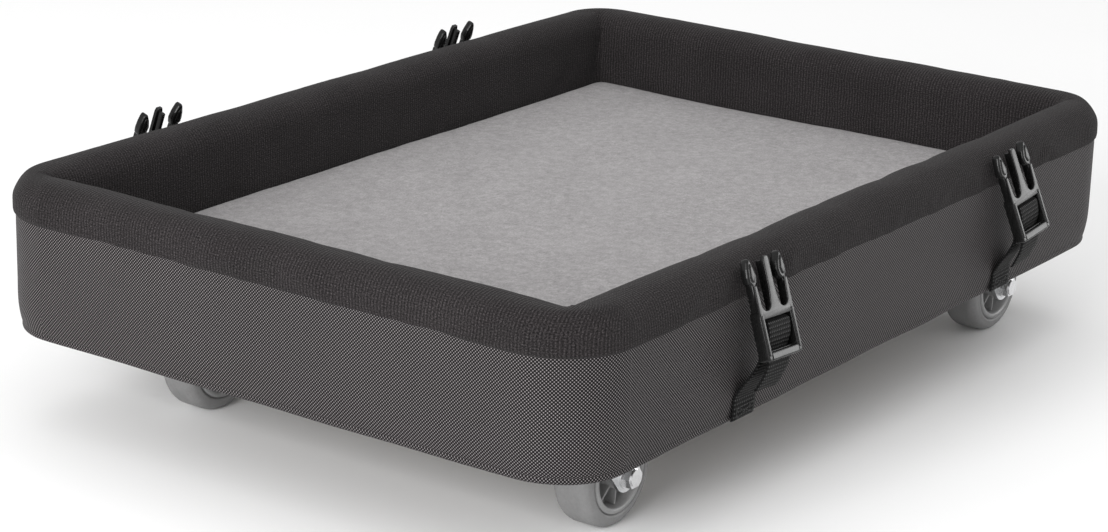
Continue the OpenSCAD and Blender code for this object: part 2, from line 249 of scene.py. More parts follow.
def webbing_material():
    m = Material("webbing", Specular_IOR_Level=0.08)
    uv, u, v = m.cloth_uv()
    lanes = m.wave(u, 1.6 * MM)
    picks = m.wave(v, RIB_PITCH)
    fine = m.noise(uv, 2500, 2)
    body = m.math("MULTIPLY", picks, m.math("MULTIPLY_ADD", lanes, 0.8, 0.2))
    level = m.math("MULTIPLY_ADD", fine, 0.3, m.math("MULTIPLY", body, 0.7))
    colour = m.ramp(level, ((0.2, grey(0.0025)), (0.5, grey(0.006)), (0.7, grey(0.03)), (0.92, grey(0.14))))
    rough = m.math("MULTIPLY_ADD", fine, 0.2, 0.5)
    return m.finish(colour, rough, m.bump(body, 0.35 * MM, 0.9))


def thread_material():
    m = Material("thread", Specular_IOR_Level=0.4)
    place = m.place()
    bands = {"wave_type": "BANDS", "bands_direction": "DIAGONAL"}
    twist = m.node("TexWave", place, Scale=900.0, Distortion=2.0, out=1, **bands)
    fine = m.noise(place, 3000, 2)
    level = m.math("MULTIPLY_ADD", fine, 0.5, m.math("MULTIPLY", twist, 0.5))
    colour = m.ramp(level, ((0.1, grey(0.006)), (0.9, grey(0.03))))
    return m.finish(colour, m.math("MULTIPLY_ADD", fine, 0.2, 0.45), m.bump(twist, 0.1 * MM, 0.5))


def moulded_material(name, dark, light, low, high, grain=900.0, depth=0.05, specular=0.4):
    m = Material(name, Specular_IOR_Level=specular)
    place = m.place()
    fine = m.noise(place, grain, 3, 0.6)
    broad = m.noise(place, 60, 3)
    colour = m.ramp(m.math("MULTIPLY_ADD", fine, 0.4, m.math("MULTIPLY", broad, 0.6)), ((0.3, dark), (0.7, light)))
    scuff = m.noise(m.node("Mapping", place, Scale=(1.0, 6.0, 1.0)), 140, 5, 0.7)
    rough = m.ramp(m.math("MULTIPLY_ADD", scuff, 0.85, m.math("MULTIPLY", fine, 0.15)), ((0.3, low), (0.75, high)))
    return m.finish(colour, rough, m.bump(fine, depth * MM, 0.5))


def metal_material(name, tone, low, high, streak=(1.0, 1.0, 8.0)):
    m = Material(name, Metallic=1.0)
    place = m.place()
    brushed = m.noise(m.node("Mapping", place, Scale=streak), 220, 4, 0.6)
    spangle = m.node("TexVoronoi", place, Scale=350.0)
    broad = m.noise(place, 45, 4)
    mixed = m.math("MULTIPLY_ADD", brushed, 0.5, m.math("MULTIPLY", broad, 0.5))
    colour = m.ramp(mixed, ((0.3, tuple(x * 0.72 for x in tone)), (0.7, tone)))
    colour = m.mix(0.12, colour, spangle, "OVERLAY")
    rough = m.ramp(mixed, ((0.3, high), (0.7, low)))
    return m.finish(colour, rough, m.bump(brushed, 0.04 * MM, 0.5))


def plywood_material():
    m = Material("birch_ply", Specular_IOR_Level=0.35)
    place = m.place()
    parts = m.tree.nodes.new("ShaderNodeSeparateXYZ")
    m.tree.links.new(place, parts.inputs[0])
    grain = m.noise(m.node("Mapping", place, Scale=(1.0, 9.0, 9.0)), 22, 6, 0.62)
    stretched = m.node("Mapping", place, Scale=(1.0, 7.0, 1.0))
    rings = m.node("TexWave", stretched, Scale=6.0, Distortion=7.0, Detail=3.0, out=1)
    face = m.math("MULTIPLY_ADD", grain, 0.6, m.math("MULTIPLY", rings, 0.3))
    colour = m.ramp(face, ((0.2, (0.075, 0.06, 0.045)), (0.5, (0.125, 0.1, 0.078)), (0.8, (0.17, 0.14, 0.11))))
    plies = m.wave(parts.outputs[2], 2.6 * MM)
    upright = m.node("SeparateXYZ", m.node("NewGeometry", out=1), out=2)
    side = m.math("SUBTRACT", 1.0, m.math("ABSOLUTE", upright))
    share = m.math("MULTIPLY", m.math("MULTIPLY", plies, side, clamp=True), 0.6)
    colour = m.mix(share, colour, (0.045, 0.034, 0.025))
    return m.finish(colour, m.math("MULTIPLY_ADD", grain, 0.2, 0.5), m.bump(face, 0.15 * MM, 0.5))


def board_material():
    m = Material("fibreboard", Specular_IOR_Level=0.2)
    place = m.place()
    fibres = m.noise(place, 500, 5, 0.7)
    colour = m.ramp(fibres, ((0.3, (0.28, 0.22, 0.15)), (0.7, (0.5, 0.42, 0.31))))
    return m.finish(colour, m.math("MULTIPLY_ADD", fibres, 0.15, 0.8), m.bump(fibres, 0.2 * MM, 0.5))


KNIT, SKIRT, FELT = knit_material(), skirt_material(), felt_material()
WEBBING, THREAD = webbing_material(), thread_material()
PLASTIC = moulded_material("acetal_black", grey(0.003), grey(0.006), 0.2, 0.34, depth=0.015, specular=0.26)
HUB = moulded_material("hub_plastic", grey(0.2), grey(0.28), 0.3, 0.55)
RUBBER = moulded_material("tyre_rubber", grey(0.16, 1.005), grey(0.22, 1.005), 0.45, 0.75, 700.0, 0.12)
ZINC = metal_material("zinc_plate", (0.78, 0.79, 0.8), 0.22, 0.42)
STEEL = metal_material("steel_bright", (0.83, 0.83, 0.84), 0.14, 0.34, (1.0, 8.0, 1.0))
PLY, BOARD = plywood_material(), board_material()


# ---------- mesh helpers ----------

def add_object(name, mesh, material):
    obj = bpy.data.objects.new(name, mesh)
    scene.collection.objects.link(obj)
    for mat in material if isinstance(material, tuple) else (material,):
        mesh.materials.append(mat)
    for p in mesh.polygons:
        p.use_smooth = True
    return obj


def activate(obj):
    bpy.ops.object.select_all(action="DESELECT")
    obj.select_set(True)
    bpy.context.view_layer.objects.active = obj


def apply_modifiers(obj):
    activate(obj)
    for modifier in list(obj.modifiers):
        bpy.ops.object.modifier_apply(modifier=modifier.name)


def face_outwards(mesh):
    bm = bmesh.new()
    bm.from_mesh(mesh)
    bmesh.ops.recalc_face_normals(bm, faces=bm.faces)
    bm.to_mesh(mesh)
    bm.free()


def smoothed(obj):
    """One level of subdivision, applied along with whatever modifiers come before it."""
    sub = obj.modifiers.new("smooth", "SUBSURF")
    sub.levels = sub.render_levels = 1
    apply_modifiers(obj)


def smooth_noise(x, y, z, size, seed):
    return noise.noise(Vector((x / size + seed, y / size - seed, z / size + 2 * seed)))


def arc_section(points, steps):
    """Resamples a polyline at even spacing of its own length, and gives that length too."""
    lengths = [0.0]
    for a, b in zip(points, points[1:]):
        lengths.append(lengths[-1] + math.dist(a, b))
    out = []
    for i in range(steps):
        want = lengths[-1] * i / (steps - 1)
        k = max(j for j in range(len(lengths) - 1) if lengths[j] <= want + 1e-12)
        t = (want - lengths[k]) / (lengths[k + 1] - lengths[k])
        out.append(tuple(p + (q - p) * t for p, q in zip(points[k], points[k + 1])))
    return out, lengths[-1]


def stations(pitch, corner_steps):
    """Stations round the tray, counter-clockwise from above, as (side, kind, share).

    The share runs from -1 to 1 along a side's straight run, and from 0 to 1 round the turn that follows it.
    """
    out = []
    for side in range(4):
        half = (HALF_X if side % 2 == 0 else HALF_Y) - CORNER_R
        count = round(2 * half / pitch)
        out += [(side, "run", -1 + 2 * i / count) for i in range(count)]
        out += [(side, "turn", i / corner_steps) for i in range(corner_steps)]
    return out


TURNS = (0, math.pi / 2, math.pi, 3 * math.pi / 2)


def ring_point(station, out, radius):
    """Plan position, outward direction and run along the side, for a ring that stands out by 'out'."""
    side, kind, share = station
    along = (HALF_X if side % 2 == 0 else HALF_Y) + out - radius
    across = (HALF_Y if side % 2 == 0 else HALF_X) + out - radius
    if kind == "run":
        x, y, angle, run = along * share, -(across + radius), 0.0, along * share
    else:
        angle = share * math.pi / 2
        x, y = along + radius * math.sin(angle), -(across + radius * math.cos(angle))
        run = along + radius * angle
    turn = Matrix.Rotation(TURNS[side], 2)
    normal = turn @ Vector((math.sin(angle), -math.cos(angle)))
    return turn @ Vector((x, y)), normal, run


def sweep(name, ring, section, material):
    """A skin round the tray: section(station) gives (out, z, corner radius) from its start to its end."""
    rows = []
    for station in ring:
        row = []
        length, before = 0.0, None
        for out, z, radius in section(station):
            if before is not None:
                length += math.dist(before, (out, z))
            before = (out, z)
            place, _, run = ring_point(station, out, radius)
            last = (HALF_Y if station[0] % 2 == 0 else HALF_X) + out - radius
            row.append((Vector((place.x, place.y, z)), run, length, last + radius * math.pi / 2))
        rows.append(row)
    n, k = len(rows), len(rows[0])
    verts = [p[0] for row in rows for p in row]
    faces, uvs = [], []
    for j in range(n):
        after = (j + 1) % n
        for i in range(k - 1):
            faces.append((j * k + i, after * k + i, after * k + i + 1, j * k + i + 1))
            quad = (rows[j][i], rows[after][i], rows[after][i + 1], rows[j][i + 1])
            side = ring[j][0]
            for p, station in zip(quad, (ring[j], ring[after], ring[after], ring[j])):
                run = p[1] if station[0] == side else p[3]
                uvs.append((run + side * 0.7, p[2]))
    mesh = bpy.data.meshes.new(name)
    mesh.from_pydata(verts, [], faces)
    layer = mesh.uv_layers.new(name="cloth")
    for loop, uv in zip(layer.data, uvs):
        loop.uv = uv
    mesh.update()
    return add_object(name, mesh, material)


def tube_dashes(name, dashes, radius, material):
    """Short round stitches, each a small capsule bowed away from the cloth: (start, end, lift direction)."""
    verts, faces = [], []
    profile = ((0.0, 0.25, -0.6), (0.12, 0.8, 0.1), (0.5, 1.0, 0.8), (0.88, 0.8, 0.1), (1.0, 0.25, -0.6))
    for start, end, lift in dashes:
        axis = (end - start).normalized()
        side = axis.cross(lift).normalized()
        up = side.cross(axis)
        base = len(verts)
        for t, size, rise in profile:
            centre = start.lerp(end, t) + up * radius * rise
            for k in range(6):
                a = k * math.pi / 3
                verts.append(centre + (side * math.cos(a) + up * math.sin(a)) * radius * size)
        for r in range(len(profile) - 1):
            for k in range(6):
                a, b = base + r * 6 + k, base + r * 6 + (k + 1) % 6
                faces.append((a, a + 6, b + 6, b))
        faces.append(tuple(base + k for k in range(6)))
        faces.append(tuple(base + (len(profile) - 1) * 6 + 5 - k for k in range(6)))
    mesh = bpy.data.meshes.new(name)
    mesh.from_pydata(verts, [], faces)
    mesh.update()
    return add_object(name, mesh, material)


# ---------- padded rim and inner wall, one knitted cover ----------

RIM_R = 12 * MM
INNER_CORNER = 4 * MM
RIM_ROWS = 31
INSIDE_FROM = 0.55  # share of the wall's thickness past which the cover counts as its inside
WALL_FROM = 0.8  # and past which it is the upright inner wall
SWELL_INSIDE, SWELL_OUTSIDE = 1.0 * MM, 0.9 * MM
SEAM_DEPTH = 0.7 * MM
SWELL_FRAMES = 20


def rim_outline():
    """Section of the padded wall as (out, z), from the outer seam over the top and down to the mat."""
    out, inner = RIM_PROUD - 1.0 * MM, -WALL_T - 0.1 * MM
    top = RIM_TOP - 0.8 * MM
    points = [(0.6 * MM, SEAM_Z + 0.6 * MM), (out - 0.3 * MM, SEAM_Z + 0.9 * MM), (out, SEAM_Z + 2.6 * MM)]
    for k in range(13):
        a = math.pi / 2 * k / 12
        points.append((out - RIM_R * (1 - math.cos(a)), top - RIM_R * (1 - math.sin(a))))
    for k in range(13):
        a = math.pi / 2 * (1 + k / 12)
        points.append((inner + RIM_R * (1 + math.cos(a)), top - RIM_R * (1 - math.sin(a))))
    points += [(inner, MAT_TOP + 2 * MM), (inner - 0.6 * MM, MAT_Z + 0.8 * MM)]
    return points


def corner_radius(out):
    """The wall's outside turns on the corner radius, and its inside is nearly square."""
    share = min(max(-out / WALL_T, 0), 1)
    share = share * share * (3 - 2 * share)
    return (CORNER_R + out) * (1 - share) + INNER_CORNER * share


def swell(obj, start, limits, outwards):
    """Puffs the cover up as cloth; no point moves past its limit, or towards its entry in outwards."""
    cloth = obj.modifiers.new("cloth", "CLOTH")
    settings = cloth.settings
    settings.quality = 6
    settings.mass = 0.25
    settings.tension_stiffness = settings.compression_stiffness = 18
    settings.shear_stiffness = 8
    settings.bending_stiffness = 1.2
    settings.use_pressure = True
    settings.uniform_pressure_force = 4
    settings.shrink_min = -0.025
    settings.vertex_group_mass = "pins"
    settings.effector_weights.gravity = 0
    cloth.collision_settings.use_collision = False
    cloth.point_cache.frame_start, cloth.point_cache.frame_end = 1, SWELL_FRAMES
    for f in range(1, SWELL_FRAMES + 1):
        scene.frame_set(f)
    graph = bpy.context.evaluated_depsgraph_get()
    moved = obj.evaluated_get(graph).to_mesh()
    places = []
    for v, s, most, outward in zip(moved.vertices, start, limits, outwards):
        shift = v.co - s
        shift -= outward * max(0.0, shift.dot(outward))
        if shift.length > most:
            shift *= most / shift.length
        places.append(s + shift)
    obj.evaluated_get(graph).to_mesh_clear()
    obj.modifiers.clear()
    scene.frame_set(1)
    for v, co in zip(obj.data.vertices, places):
        v.co = co


def build_rim():
    outline, _ = arc_section(rim_outline(), RIM_ROWS)
    ring = stations(4.5 * MM, 10)

    def section(_):
        return [(out, z, corner_radius(out)) for out, z in outline]

    obj = sweep("rim_cover", ring, section, KNIT)
    mesh = obj.data
    pins = obj.vertex_groups.new(name="pins")
    start = [v.co.copy() for v in mesh.vertices]
    limits, outwards = [], []
    for j, station in enumerate(ring):
        mitre = station[1] == "turn" and abs(station[2] - 0.5) < 0.01
        for i, (out, z) in enumerate(outline):
            index = j * RIM_ROWS + i
            inside = out < -WALL_T * INSIDE_FROM
            seam = mitre and inside
            pinned = i == 0 or i == RIM_ROWS - 1 or seam
            pins.add([index], 1.0 if pinned else (0.25 if i >= RIM_ROWS - 3 or i == 1 else 0.0), "REPLACE")
            limits.append(0.0 if pinned else (SWELL_INSIDE if inside else SWELL_OUTSIDE))
            _, normal, _ = ring_point(station, out, corner_radius(out))
            outwards.append(Vector((normal.x, normal.y, 0)) if inside else Vector((0, 0, 0)))
            if seam:
                depth = min(1.0, (-out / WALL_T - INSIDE_FROM) / 0.3) * SEAM_DEPTH
                mesh.vertices[index].co += Vector((normal.x, normal.y, 0)) * depth
                start[index] = mesh.vertices[index].co.copy()
    swell(obj, start, limits, outwards)
    # gentle, broad unevenness of the padding, and folds where the knit is drawn into the mat's edge
    for j, station in enumerate(ring):
        side = station[0]
        for i, (out, z) in enumerate(outline):
            if i in (0, RIM_ROWS - 1):
                continue
            v = mesh.vertices[j * RIM_ROWS + i]
            wall = out < -WALL_T * WALL_FROM
            _, normal, run = ring_point(station, out, corner_radius(out))
            low = max(0.0, 1 - (z - MAT_TOP) / (22 * MM)) if wall else 0.0
            wide = smooth_noise(run, z, side * 3.1, 70 * MM, 1.7)
            tuck = smooth_noise(run, 0.0, side * 5.3, 24 * MM, 4.1)
            shift = wide * 0.35 * MM + tuck * low * 1.5 * MM
            if wall:
                shift = -abs(shift)
            v.co += Vector((normal.x, normal.y, 0)) * shift
            rise = smooth_noise(run, out, side * 2.3, 90 * MM, 9.4) * 0.3 * MM
            v.co.z += rise * min(1.0, (z - MAT_Z) / (30 * MM))
    smoothed(obj)
    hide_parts("wall_lining", *(f"rim_pad_{s}" for s in SIDES))
    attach(obj, "tray")


build_rim()


# ---------- skirt, hem tape and hem stitches ----------

def skirt_wave(station, z):
    """How far the skirt stands out at a place: slack folds grow towards its free bottom edge."""
    side = station[0]
    _, _, run = ring_point(station, 0.0, CORNER_R)
    free = min(1.0, max(0.0, (BOARD_Z + 4 * MM - z) / (25 * MM)))
    held = 1.0
    if side % 2 == 0:
        for x in (-STRAP_X, STRAP_X):
            held = min(held, max(0.0, (abs(run - x) - 12 * MM) / (30 * MM)))
    broad = smooth_noise(run, z * 0.4, side * 4.7, 120 * MM, 2.2) * 0.45 * MM
    slack = smooth_noise(run, z * 0.5, side * 7.9, 55 * MM, 6.6) * 1.5 * MM * free
    return (broad + slack) * held


def skirt_section(station):
    """The skirt's face as (out, z, corner radius) from the seam down to the hem, which curls in."""
    pts = []
    top = SEAM_Z + 2.2 * MM
    for k in range(20):
        z = top + (HEM_Z + 3.4 * MM - top) * k / 19
        low = max(0.0, (HEM_Z + 19 * MM - z) / (16 * MM))
        curl = -2.2 * MM * low * low
        out = 0.12 * MM + curl + skirt_wave(station, z)
        if z > SEAM_Z - 1 * MM:
            out = min(out, 0.1 * MM)
        pts.append((out, z, CORNER_R + out))
    return pts


def tape_section(station):
    """The tape folded over the skirt's raw edge, from the outside round the bottom to the inside."""
    base, low = skirt_section(station)[-1][0] - 0.5 * MM, HEM_Z + 0.5 * MM
    pts = [(base + 1.0 * MM, low + 4.6 * MM), (base + 1.6 * MM, low + 3.9 * MM)]
    for k in range(15):
        a = math.radians(-20 + 220 * k / 14)
        pts.append((base + 1.75 * MM * math.cos(a), low + 2.0 * MM - 2.0 * MM * math.sin(a)))
    pts += [(base - 1.5 * MM, low + 4.2 * MM), (base - 0.9 * MM, low + 4.8 * MM)]
    return [(out, z, CORNER_R + out) for out, z in pts]


def hem_stitch_dashes():
    """One row of stitches just above the tape, as (start, end, outward direction)."""
    dashes = []
    pitch, length = 4.2 * MM, 2.9 * MM
    for side in range(4):
        half = (HALF_X if side % 2 == 0 else HALF_Y) - CORNER_R
        total = 2 * half + CORNER_R * math.pi / 2
        for k in range(int(total / pitch)):
            ends = []
            for at in (k * pitch, k * pitch + length):
                if at <= 2 * half:
                    station = (side, "run", -1 + at / half)
                else:
                    station = (side, "turn", (at - 2 * half) / (CORNER_R * math.pi / 2))
                out, z, _ = skirt_section(station)[-2]
                out += 0.2 * MM
                place, normal, _ = ring_point(station, out, CORNER_R + out)
                ends.append(Vector((place.x, place.y, z + 1.2 * MM)))
            dashes.append((ends[0], ends[1], Vector((normal.x, normal.y, 0))))
    return dashes


def build_skirt():
    ring = stations(5 * MM, 12)
    skirt = sweep("skirt", ring, skirt_section, SKIRT)
    shell = skirt.modifiers.new("thickness", "SOLIDIFY")
    shell.thickness = 1.0 * MM
    shell.offset = -1
    shell.use_even_offset = True
    smoothed(skirt)
    tape = sweep("hem_tape", ring, tape_section, SKIRT)
    face_outwards(tape.data)
    smoothed(tape)
    stitches = tube_dashes("hem_stitches", hem_stitch_dashes(), 0.28 * MM, THREAD)

    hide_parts("skirt_cover", *(f"skirt_hem_{s}" for s in SIDES))
    for obj, name in ((skirt, "nylon"), (tape, "nylon"), (stitches, "nylon")):
        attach(obj, "tray")


build_skirt()


# ---------- felt mat ----------

def build_mat():
    """A thick felt sheet with soft, slightly wavy edges."""
    nx, ny = 96, 64
    lip = 7 * MM
    half_x, half_y = MAT_HALF.x + 0.6 * MM, MAT_HALF.y + 0.6 * MM
    verts, faces = [], []

    def plan(i, j):
        """Square grid drawn onto a rectangle with rounded corners."""
        s, t = -1 + 2 * i / nx, -1 + 2 * j / ny
        x, y = s * half_x, t * half_y
        cx, cy = max(abs(x) - (half_x - lip), 0), max(abs(y) - (half_y - lip), 0)
        if cx > 0 and cy > 0:
            reach, span = max(cx, cy), math.hypot(cx, cy)
            x = math.copysign(half_x - lip + cx * reach / span, x)
            y = math.copysign(half_y - lip + cy * reach / span, y)
        edge = max(abs(s), abs(t))
        wave = smooth_noise(x, y, 0.0, 34 * MM, 3.3) * 1.6 * MM * max(0.0, edge - 0.9) / 0.1
        r = Vector((x, y)).normalized() if edge > 0.5 else Vector((0, 0))
        return x - abs(wave) * r.x, y - abs(wave) * r.y, edge

    for layer in (0, 1):
        for j in range(ny + 1):
            for i in range(nx + 1):
                x, y, edge = plan(i, j)
                fall = max(0.0, (edge - 0.975) / 0.025)
                if layer:
                    z = MAT_TOP - 1.6 * MM * fall * fall + smooth_noise(x, y, 0.0, 95 * MM, 8.8) * 0.9 * MM
                    z += smooth_noise(x, y, 0.0, 30 * MM, 5.5) * 0.25 * MM
                else:
                    z = MAT_Z + 0.15 * MM
                verts.append((x, y, z))
    stride, count = nx + 1, (nx + 1) * (ny + 1)
    for j in range(ny):
        for i in range(nx):
            a = j * stride + i
            faces.append((count + a, count + a + 1, count + a + 1 + stride, count + a + stride))
            faces.append((a, a + stride, a + 1 + stride, a + 1))
    rim = list(range(nx)) + [nx + j * stride for j in range(ny)]
    rim += [ny * stride + nx - i for i in range(nx)] + [(ny - j) * stride for j in range(ny)]
    for a, b in zip(rim, rim[1:] + rim[:1]):
        faces.append((a, b, count + b, count + a))
    mesh = bpy.data.meshes.new("felt_mat")
    mesh.from_pydata(verts, [], faces)
    mesh.update()
    obj = add_object("felt_mat", mesh, FELT)
    smoothed(obj)
    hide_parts("floor_mat")
    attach(obj, "tray")


build_mat()


# ---------- straps ----------

STITCH_X, STITCH_LOW, STITCH_HIGH = 7.5, 52.6, 58  # the foot's box of stitches, in mm


def strap_matrix(post):
    """From a strap's own frame (x along the side, y out of the skirt, z up) to the tray's: upright, leaning."""
    i = POSTS.index(post)
    sx = -1 if i in (0, 3) else 1
    sy = -1 if i < 2 else 1
    place = Matrix.Translation((sx * STRAP_X, sy * HALF_Y, 0)) @ Matrix.Diagonal((1, sy, 1, 1))
    hinge = Vector((0, HINGE_OUT, HINGE_Z))
    lean = Matrix.Translation(hinge) @ Matrix.Rotation(-LEANS[post], 4, "Y") @ Matrix.Translation(-hinge)
    return place, place @ lean


def strap_lift(post):
    return BACK_LIFT if post in ("br", "bl") else 0.0


def on_buckle(v, w, lift):
    """A point of a buckle's side view: v up along it, w through its thickness."""
    s, c = math.sin(BUCKLE_TILT), math.cos(BUCKLE_TILT)
    m = w - BUCKLE_T / 2
    return (BUCKLE_FOOT[0] - s * v + c * m, BUCKLE_FOOT[1] + lift + c * v + s * m)


def smooth_path(points, per=5):
    """Catmull-Rom curve through the points."""
    pts = [Vector(p) for p in points]
    pts = [2 * pts[0] - pts[1]] + pts + [2 * pts[-1] - pts[-2]]
    out = []
    for k in range(1, len(pts) - 2):
        p0, p1, p2, p3 = pts[k - 1:k + 3]
        for j in range(per):
            t = j / per
            square = (2 * p0 - 5 * p1 + 4 * p2 - p3) * t * t
            cube = (3 * p1 - p0 - 3 * p2 + p3) * t ** 3
            out.append(0.5 * (2 * p1 + (p2 - p0) * t + square + cube))
    out.append(pts[-2])
    return out


def strap_path(lift):
    """Centre line of a strap as (out, z): from the hem, over the ladder bar, and down to its end."""
    turn_r = LADDER_R + STRAP_T / 2 + 0.15 * MM
    rise = lift / MM
    foot = [(0.4, 51.4), (1.1, 55), (1.3, 61), (1.6, 63.2)]
    foot += [(5, 69 + rise * 0.3), (10, 76.5 + rise * 0.7), (13.3, 83.5 + rise)]
    back = [on_buckle(6 * MM, -1 * MM, lift), on_buckle(12 * MM, 0, lift)]
    over = []
    for k in range(7):
        a = math.radians(180 - 30 * k)
        over.append(on_buckle(LADDER_V + turn_r * math.sin(a), BUCKLE_T / 2 + turn_r * math.cos(a), lift))
    front = [on_buckle(10 * MM, BUCKLE_T - 2.2 * MM, lift)]
    front += [on_buckle(v * MM, 1.2 * MM, lift) for v in (4.5, -1)]
    tail = [(17.2, 78.5 + rise), (15, 73.5 + rise), (12.6, 69 + rise)]
    scaled = [[(y * MM, z * MM) for y, z in part] for part in (foot, tail)]
    return scaled[0] + back + over + front + scaled[1]


def build_strap(post):
    place, leaning = strap_matrix(post)
    path = smooth_path(strap_path(strap_lift(post)))
    # even spacing, four rows for each rib of the weave
    whole = sum((b - a).length for a, b in zip(path, path[1:]))
    fine, length = arc_section([tuple(p) for p in path], int(whole / (RIB_PITCH / 4)) + 1)
    line = [Vector(p) for p in fine]
    cols = 12
    verts, faces, uvs = [], [], []
    upper = []
    for k in range(cols + 1):
        x = -1 + 2 * k / cols
        edge = max(0.0, abs(x) - 0.9) / 0.1
        lane = 0.5 + 0.5 * math.cos(2 * math.pi * x * 4.5)
        upper.append((x * STRAP_W / 2, STRAP_T / 2 * (1 - 0.55 * edge) * (0.93 + 0.07 * lane)))
    section = upper + [(x, -t) for x, t in reversed(upper)]
    count = len(section)
    for i, p in enumerate(line):
        a, b = line[max(i - 1, 0)], line[min(i + 1, len(line) - 1)]
        d = (b - a).normalized()
        normal = Vector((-d.y, d.x))
        rib = 1 - 0.16 * (0.5 - 0.5 * math.cos(2 * math.pi * i / 4)) if i not in (0, len(line) - 1) else 0.8
        for x, t in section:
            q = p + normal * t * rib
            local = Vector((x, q.x, q.y))
            # the sewn foot stands upright, and the lean comes in above it
            share = min(1.0, max(0.0, (p.y - (HINGE_Z - 6 * MM)) / (12 * MM)))
            verts.append((place @ local).lerp(leaning @ local, share))
    n = len(line)
    for i in range(n - 1):
        for k in range(count):
            after = (k + 1) % count
            faces.append((i * count + k, i * count + after, (i + 1) * count + after, (i + 1) * count + k))
            for row, col in ((i, k), (i, after), (i + 1, after), (i + 1, k)):
                uvs.append((section[col][0] + STRAP_W, length * row / (n - 1)))
    for row in (0, n - 1):
        for k in range(cols):
            quad = (k, k + 1, count - 2 - k, count - 1 - k)
            faces.append(tuple(row * count + q for q in (quad if row else reversed(quad))))
            order = quad if row else tuple(reversed(quad))
            uvs += [(section[q][0] + STRAP_W, length * row / (n - 1)) for q in order]
    mesh = bpy.data.meshes.new(f"webbing_{post}")
    mesh.from_pydata([tuple(v) for v in verts], [], faces)
    layer = mesh.uv_layers.new(name="cloth")
    for item, uv in zip(layer.data, uvs):
        item.uv = uv
    mesh.update()
    obj = add_object(f"webbing_{post}", mesh, WEBBING)
    face_outwards(mesh)
    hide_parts(f"strap_anchor_{post}", f"strap_webbing_{post}")
    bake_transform(obj)

    # box of stitches, crossed corner to corner, that holds the foot to the skirt
    dashes = []
    out = HINGE_OUT + STRAP_T / 2 + 0.1 * MM
    outward = place.to_3x3() @ Vector((0, 1, 0))
    a0, b0 = (-STITCH_X, STITCH_LOW), (STITCH_X, STITCH_LOW)
    a1, b1 = (-STITCH_X, STITCH_HIGH), (STITCH_X, STITCH_HIGH)
    for (xa, za), (xb, zb) in ((a0, b0), (b0, b1), (b1, a1), (a1, a0), (a0, b1), (b0, a1)):
        a, b = Vector((xa, 0, za)) * MM, Vector((xb, 0, zb)) * MM
        pieces = max(2, round((b - a).length / (2.5 * MM)))
        for k in range(pieces):
            s, e = a.lerp(b, (k + 0.12) / pieces), a.lerp(b, (k + 0.88) / pieces)
            s.y = e.y = out
            dashes.append((place @ s, place @ e, outward))
    foot = tube_dashes(f"foot_stitches_{post}", dashes, 0.22 * MM, THREAD)
    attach(foot, "tray")
    return obj, foot, length


# ---------- buckles ----------

def outline_solid(outline, depth, bevel, z):
    """A bevelled plate from a closed outline, between z and z + depth."""
    curve = bpy.data.curves.new("outline", "CURVE")
    curve.dimensions = "2D"
    curve.fill_mode = "BOTH"
    curve.extrude = depth / 2 - bevel
    curve.bevel_depth = bevel
    curve.bevel_resolution = 2
    curve.offset = -bevel
    spline = curve.splines.new("POLY")
    spline.points.add(len(outline) - 1)
    for point, (x, y) in zip(spline.points, outline):
        point.co = (x, y, 0, 1)
    spline.use_cyclic_u = True
    obj = bpy.data.objects.new("outline", curve)
    scene.collection.objects.link(obj)
    graph = bpy.context.evaluated_depsgraph_get()
    mesh = bpy.data.meshes.new_from_object(obj.evaluated_get(graph))
    bpy.data.objects.remove(obj)
    mesh.transform(Matrix.Translation((0, 0, z + depth / 2)))
    return mesh


def rounded(points, radius, steps=5):
    """Rounds every corner of a closed outline."""
    out = []
    n = len(points)
    for i in range(n):
        a, b, c = Vector(points[i - 1]), Vector(points[i]), Vector(points[(i + 1) % n])
        u, v = (a - b).normalized(), (c - b).normalized()
        half = math.acos(max(-1, min(1, u.dot(v)))) / 2
        if half > math.radians(89):
            out.append(tuple(b))
            continue
        cut = min(radius / math.tan(half), 0.48 * (a - b).length, 0.48 * (c - b).length)
        r = cut * math.tan(half)
        centre = b + (u + v).normalized() * (r / math.sin(half))
        s, e = b + u * cut - centre, b + v * cut - centre
        angle = s.angle_signed(e)
        for k in range(steps + 1):
            out.append(tuple(centre + Matrix.Rotation(-angle * k / steps, 2) @ s))
    return out


def box_outline(x0, y0, x1, y1, r):
    return rounded([(x0, y0), (x1, y0), (x1, y1), (x0, y1)], r)


def rod_mesh(start, end, radius, ridge):
    """A round bar with softly domed ends and, where ridge is over 0, fine ridges along it."""
    axis = end - start
    length = axis.length
    turn = axis.to_track_quat("Z", "Y").to_matrix().to_4x4()
    bm = bmesh.new()
    rings = []
    sides = 24
    stops = [(0, 0.6), (0.3 * MM, 1.0), (length - 0.3 * MM, 1.0), (length, 0.6)]
    for z, size in stops:
        ring = []
        for k in range(sides):
            a = 2 * math.pi * k / sides
            r = radius * size * (1 - (ridge if k % 2 else 0))
            ring.append(bm.verts.new((r * math.cos(a), r * math.sin(a), z)))
        rings.append(ring)
    for lower, upper in zip(rings, rings[1:]):
        for k in range(sides):
            bm.faces.new((lower[k], lower[(k + 1) % sides], upper[(k + 1) % sides], upper[k]))
    bm.faces.new(list(reversed(rings[0])))
    bm.faces.new(rings[-1])
    mesh = bpy.data.meshes.new("rod")
    bm.to_mesh(mesh)
    bm.free()
    mesh.transform(Matrix.Translation(start) @ turn)
    return mesh


def join_meshes(name, meshes):
    bm = bmesh.new()
    for mesh in meshes:
        bm.from_mesh(mesh)
        bpy.data.meshes.remove(mesh)
    bmesh.ops.remove_doubles(bm, verts=bm.verts, dist=1e-6)
    mesh = bpy.data.meshes.new(name)
    bm.to_mesh(mesh)
    bm.free()
    return mesh


def mirrored(outline):
    return [(-x, y) for x, y in reversed(outline)]


